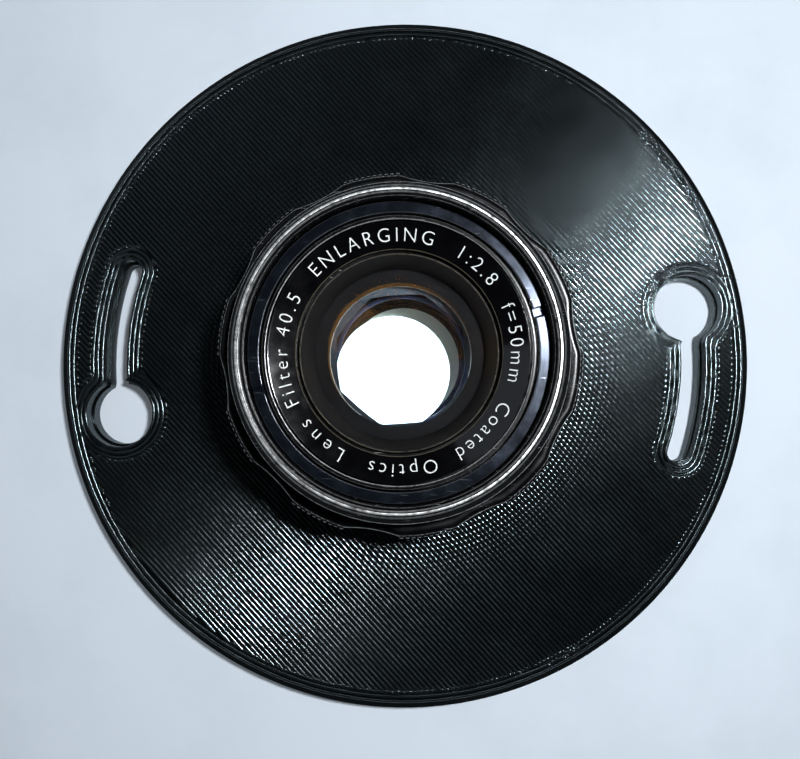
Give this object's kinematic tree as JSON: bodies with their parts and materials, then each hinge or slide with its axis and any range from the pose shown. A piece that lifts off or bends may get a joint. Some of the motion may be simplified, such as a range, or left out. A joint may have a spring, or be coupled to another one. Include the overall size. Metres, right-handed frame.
{
  "type": "enlarger lens",
  "caption": "Photographic enlarging lens on a round lens board: a knurled ring turns an iris between two groups of coated glass, and keyhole slots hang the board on an enlarger.",
  "frame": {"origin": "centre of the lens board's back face, on the optical axis", "axes": "+Z along the optical axis towards the front glass, +X towards the first keyhole's side of the board"},
  "size_m": [0.108, 0.108, 0.03],
  "materials": {
    "printed_plastic": "printed in lines, satin",
    "black_anodised": "black anodised, edges worn bright",
    "blue_black_steel": "blued, satin",
    "gloss_black": "gloss black",
    "matt_black": "matt black",
    "bright_steel": "satin",
    "brass": "machined",
    "optical_glass": "polished and coated"
  },
  "bodies": {
    "root": {"lens_board": "printed_plastic", "main_barrel": "black_anodised", "front_barrel": "black_anodised", "set_screw_1": "bright_steel", "set_screw_2": "bright_steel", "set_screw_3": "bright_steel", "spanner_ring": "blue_black_steel", "name_ring": "gloss_black", "front_cell": "black_anodised", "front_lens_retainer": "matt_black", "front_spacer": "matt_black", "front_element": "optical_glass", "front_doublet_crown": "optical_glass", "front_doublet_flint": "optical_glass", "rear_doublet_flint": "optical_glass", "rear_doublet_crown": "optical_glass", "rear_element": "optical_glass", "rear_cell": "black_anodised", "rear_spacer": "matt_black", "rear_lens_retainer": "matt_black", "iris_base_plate": "matt_black", "iris_snap_ring": "bright_steel", "click_spring": "bright_steel"},
    "aperture": {"aperture_ring": "black_anodised", "drive_screw": "bright_steel", "iris_cam_ring": "brass"},
    "blade_1": {"iris_blade_1": "blue_black_steel"},
    "blade_2": {"iris_blade_2": "blue_black_steel"},
    "blade_3": {"iris_blade_3": "blue_black_steel"},
    "blade_4": {"iris_blade_4": "blue_black_steel"},
    "blade_5": {"iris_blade_5": "blue_black_steel"},
    "blade_6": {"iris_blade_6": "blue_black_steel"},
    "blade_7": {"iris_blade_7": "blue_black_steel"},
    "blade_8": {"iris_blade_8": "blue_black_steel"},
    "click_ball": {"click_ball": "bright_steel"}
  },
  "joints": [
    {"name": "aperture_turn", "type": "hinge", "parent": "root", "child": "aperture", "pos_m": [0, 0, 0.016], "axis": [0, 0, 1], "range_deg": [0, 50]},
    {"name": "blade_1_swing", "type": "hinge", "parent": "root", "child": "blade_1", "pos_m": [0.0138, 0, 0.00995], "axis": [0, 0, 1], "range_deg": [0, 25.7]},
    {"name": "blade_2_swing", "type": "hinge", "parent": "root", "child": "blade_2", "pos_m": [0.00976, 0.00976, 0.00995], "axis": [0, 0, 1], "range_deg": [0, 25.7]},
    {"name": "blade_3_swing", "type": "hinge", "parent": "root", "child": "blade_3", "pos_m": [0, 0.0138, 0.00995], "axis": [0, 0, 1], "range_deg": [0, 25.7]},
    {"name": "blade_4_swing", "type": "hinge", "parent": "root", "child": "blade_4", "pos_m": [-0.00976, 0.00976, 0.00995], "axis": [0, 0, 1], "range_deg": [0, 25.7]},
    {"name": "blade_5_swing", "type": "hinge", "parent": "root", "child": "blade_5", "pos_m": [-0.0138, 0, 0.00995], "axis": [0, 0, 1], "range_deg": [0, 25.7]},
    {"name": "blade_6_swing", "type": "hinge", "parent": "root", "child": "blade_6", "pos_m": [-0.00976, -0.00976, 0.00995], "axis": [0, 0, 1], "range_deg": [0, 25.7]},
    {"name": "blade_7_swing", "type": "hinge", "parent": "root", "child": "blade_7", "pos_m": [0, -0.0138, 0.00995], "axis": [0, 0, 1], "range_deg": [0, 25.7]},
    {"name": "blade_8_swing", "type": "hinge", "parent": "root", "child": "blade_8", "pos_m": [0.00976, -0.00976, 0.00995], "axis": [0, 0, 1], "range_deg": [0, 25.7]},
    {"name": "click_ball_slide", "type": "slide", "parent": "root", "child": "click_ball", "axis": [0, 0, 1], "range_m": [-0.00035, 0], "stiffness_N_per_m": 300, "springref_m": 0.001, "deforming": ["click_spring"]}
  ],
  "couplings": [
    {"joint": "blade_1_swing", "follows": "aperture_turn", "ratio": 0.5135},
    {"joint": "blade_2_swing", "follows": "aperture_turn", "ratio": 0.5135},
    {"joint": "blade_3_swing", "follows": "aperture_turn", "ratio": 0.5135},
    {"joint": "blade_4_swing", "follows": "aperture_turn", "ratio": 0.5135},
    {"joint": "blade_5_swing", "follows": "aperture_turn", "ratio": 0.5135},
    {"joint": "blade_6_swing", "follows": "aperture_turn", "ratio": 0.5135},
    {"joint": "blade_7_swing", "follows": "aperture_turn", "ratio": 0.5135},
    {"joint": "blade_8_swing", "follows": "aperture_turn", "ratio": 0.5135}
  ]
}
